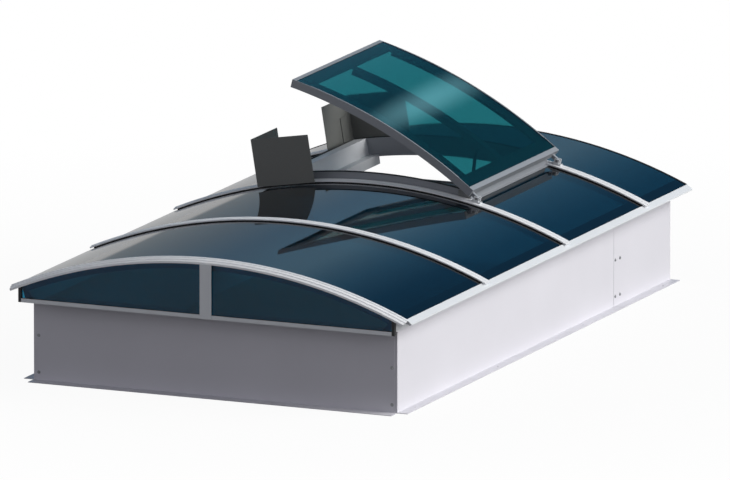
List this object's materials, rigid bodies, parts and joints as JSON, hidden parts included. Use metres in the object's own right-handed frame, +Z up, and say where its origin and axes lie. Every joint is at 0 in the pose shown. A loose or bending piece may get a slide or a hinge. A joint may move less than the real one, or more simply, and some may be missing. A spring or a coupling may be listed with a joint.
{
  "type": "continuous rooflight",
  "caption": "Barrel-vault continuous rooflight on a sheet-metal kerb: arched aluminium rafters, tinted curved glazing, glazed gable and a hinged vent flap with wind deflectors.",
  "frame": {"origin": "middle of the footprint at the underside of the kerb's base flange", "axes": "+Z up, Y along the run with the glazed gable at -Y and the open joint end at +Y, +X towards the vent's hinge side"},
  "size_m": [2.204, 3.69, 1.2336],
  "materials": {
    "kerb_sheet": "smooth satin coating on folded sheet",
    "aluminium": "mill finish with fine drawing lines along the profile",
    "tinted_glazing": "dark blue-green tint, mirror gloss",
    "black_rubber": "matt black gasket",
    "anthracite_sheet": "matt anthracite coating",
    "zinc_steel": "bright zinc plate",
    "drive_case": "satin anodised"
  },
  "bodies": {
    "rooflight": {"deflector_far": "anthracite_sheet", "deflector_near": "anthracite_sheet", "deflector_straps": "anthracite_sheet", "eaves_end_caps": "aluminium", "eaves_left": "aluminium", "eaves_right": "aluminium", "eaves_seals": "black_rubber", "gable_arch_base": "aluminium", "gable_arch_cap": "aluminium", "gable_mullion": "aluminium", "gable_pane_left": "tinted_glazing", "gable_pane_right": "tinted_glazing", "gable_seals": "black_rubber", "gable_sill": "aluminium", "glazing_bay_1": "tinted_glazing", "glazing_bay_2": "tinted_glazing", "glazing_bay_3_left": "tinted_glazing", "glazing_bay_3_right": "tinted_glazing", "glazing_bay_4": "tinted_glazing", "hinge_brackets": "aluminium", "hinge_pins": "zinc_steel", "kerb_corner_screws": "zinc_steel", "kerb_end_front": "kerb_sheet", "kerb_lap_screws": "zinc_steel", "kerb_side_left_front": "kerb_sheet", "kerb_side_left_rear": "kerb_sheet", "kerb_side_right_front": "kerb_sheet", "kerb_side_right_rear": "kerb_sheet", "opener_traverse": "zinc_steel", "rafter_base_2": "aluminium", "rafter_base_3": "aluminium", "rafter_base_4": "aluminium", "rafter_cap_2": "aluminium", "rafter_cap_3": "aluminium", "rafter_cap_4": "aluminium", "rafter_seals_lower": "black_rubber", "rafter_seals_upper": "black_rubber", "vent_beam_closing": "aluminium", "vent_beam_hinge": "aluminium", "vent_seals": "black_rubber", "vent_side_far": "aluminium", "vent_side_near": "aluminium", "vent_trimmer_closing": "aluminium", "vent_trimmer_hinge": "aluminium"},
    "flap": {"flap_glazing": "tinted_glazing", "flap_lugs": "aluminium", "flap_rail_closing": "aluminium", "flap_rail_far": "aluminium", "flap_rail_hinge": "aluminium", "flap_rail_near": "aluminium", "flap_rib": "aluminium", "opener_clevis": "zinc_steel", "opener_clevis_pin": "zinc_steel"},
    "opener_drive": {"opener_case": "drive_case"},
    "opener_spindle": {"opener_rod": "zinc_steel"}
  },
  "joints": [
    {"name": "flap_hinge", "type": "hinge", "parent": "rooflight", "child": "flap", "pos_m": [0.58869, 0.7605, 0.69066], "axis": [0, 1, 0], "range_deg": [-26.25, 0]},
    {"name": "opener_swing", "type": "hinge", "parent": "rooflight", "child": "opener_drive", "pos_m": [0.32992, 0.7605, 0.62267], "axis": [0, 1, 0], "range_deg": [-13.8, 0]},
    {"name": "opener_stroke", "type": "slide", "parent": "opener_drive", "child": "opener_spindle", "axis": [0.1142, 0, 0.9935], "range_m": [-0.119, 0]}
  ],
  "couplings": [
    {"joint": "opener_swing", "follows": "flap_hinge", "ratio": 0.52437},
    {"joint": "opener_stroke", "follows": "flap_hinge", "m_per_rad": 0.25842}
  ]
}
